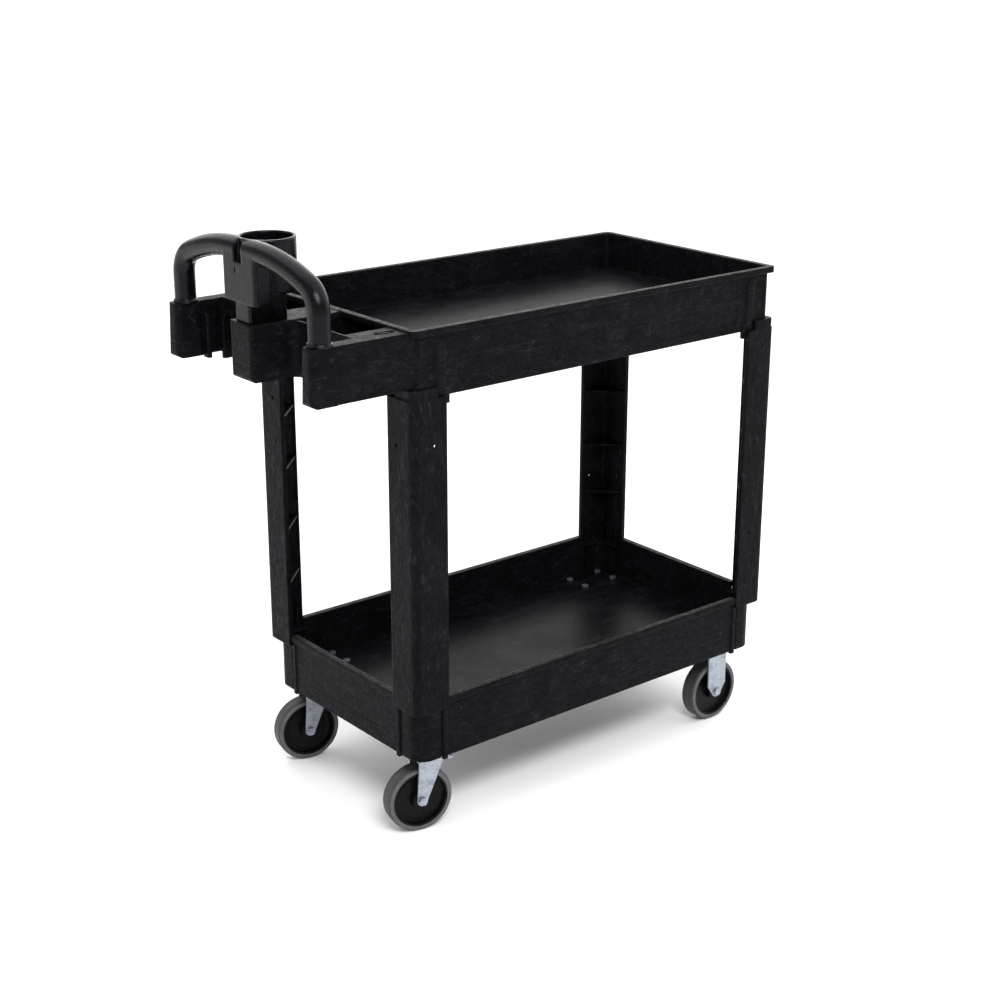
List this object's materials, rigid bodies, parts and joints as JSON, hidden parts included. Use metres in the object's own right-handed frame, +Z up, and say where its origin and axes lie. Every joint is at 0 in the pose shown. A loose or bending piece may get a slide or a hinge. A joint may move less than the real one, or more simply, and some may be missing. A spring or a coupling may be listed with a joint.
{
  "type": "rolling utility cart",
  "caption": "Rolling utility cart with deep trays on corner legs, push arches with a bottle holder, and swivel and rigid casters.",
  "frame": {"origin": "on the floor, under the middle of the cart's bounding box", "axes": "+X from the push handle towards the far end, +Y across the cart, +Z up"},
  "size_m": [1.0692, 0.481, 1.0914],
  "materials": {
    "black_plastic": "structural foam, slightly mottled",
    "wheel_plastic": "moulded satin",
    "grey_tread": "smooth non-marking tread",
    "zinc_steel": "bright zinc plate"
  },
  "bodies": {
    "cart": {"top_tray": "black_plastic", "handle_unit": "black_plastic", "bottom_tray": "black_plastic", "leg_push_near": "black_plastic", "leg_push_far": "black_plastic", "leg_end_near": "black_plastic", "leg_end_far": "black_plastic", "swivel_plate_near": "zinc_steel", "swivel_kingpin_near": "zinc_steel", "rigid_bracket_near": "zinc_steel", "rigid_axle_bolt_near": "zinc_steel", "rigid_axle_nut_near": "zinc_steel", "rigid_axle_sleeve_near": "zinc_steel", "swivel_plate_far": "zinc_steel", "swivel_kingpin_far": "zinc_steel", "rigid_bracket_far": "zinc_steel", "rigid_axle_bolt_far": "zinc_steel", "rigid_axle_nut_far": "zinc_steel", "rigid_axle_sleeve_far": "zinc_steel", "caster_bolts": "zinc_steel", "caster_nuts": "zinc_steel"},
    "swivel_near": {"swivel_fork_near": "zinc_steel", "swivel_bearing_near": "zinc_steel", "swivel_axle_bolt_near": "zinc_steel", "swivel_axle_nut_near": "zinc_steel", "swivel_axle_sleeve_near": "zinc_steel"},
    "swivel_wheel_near": {"swivel_wheel_core_near": "wheel_plastic", "swivel_tyre_near": "grey_tread"},
    "rigid_wheel_near": {"rigid_wheel_core_near": "wheel_plastic", "rigid_tyre_near": "grey_tread"},
    "swivel_far": {"swivel_fork_far": "zinc_steel", "swivel_bearing_far": "zinc_steel", "swivel_axle_bolt_far": "zinc_steel", "swivel_axle_nut_far": "zinc_steel", "swivel_axle_sleeve_far": "zinc_steel"},
    "swivel_wheel_far": {"swivel_wheel_core_far": "wheel_plastic", "swivel_tyre_far": "grey_tread"},
    "rigid_wheel_far": {"rigid_wheel_core_far": "wheel_plastic", "rigid_tyre_far": "grey_tread"}
  },
  "joints": [
    {"name": "swivel_turn_near", "type": "hinge", "parent": "cart", "child": "swivel_near", "pos_m": [-0.26225, -0.184, 0.15], "axis": [0, 0, 1], "continuous": true},
    {"name": "swivel_wheel_spin_near", "type": "hinge", "parent": "swivel_near", "child": "swivel_wheel_near", "pos_m": [-0.29942, -0.1761, 0.0635], "axis": [0.2079, 0.9781, 0], "continuous": true},
    {"name": "rigid_wheel_spin_near", "type": "hinge", "parent": "cart", "child": "rigid_wheel_near", "pos_m": [0.45175, -0.184, 0.0635], "axis": [0, 1, 0], "continuous": true},
    {"name": "swivel_turn_far", "type": "hinge", "parent": "cart", "child": "swivel_far", "pos_m": [-0.26225, 0.184, 0.15], "axis": [0, 0, 1], "continuous": true},
    {"name": "swivel_wheel_spin_far", "type": "hinge", "parent": "swivel_far", "child": "swivel_wheel_far", "pos_m": [-0.29942, 0.1919, 0.0635], "axis": [0.2079, 0.9781, 0], "continuous": true},
    {"name": "rigid_wheel_spin_far", "type": "hinge", "parent": "cart", "child": "rigid_wheel_far", "pos_m": [0.45175, 0.184, 0.0635], "axis": [0, 1, 0], "continuous": true}
  ]
}
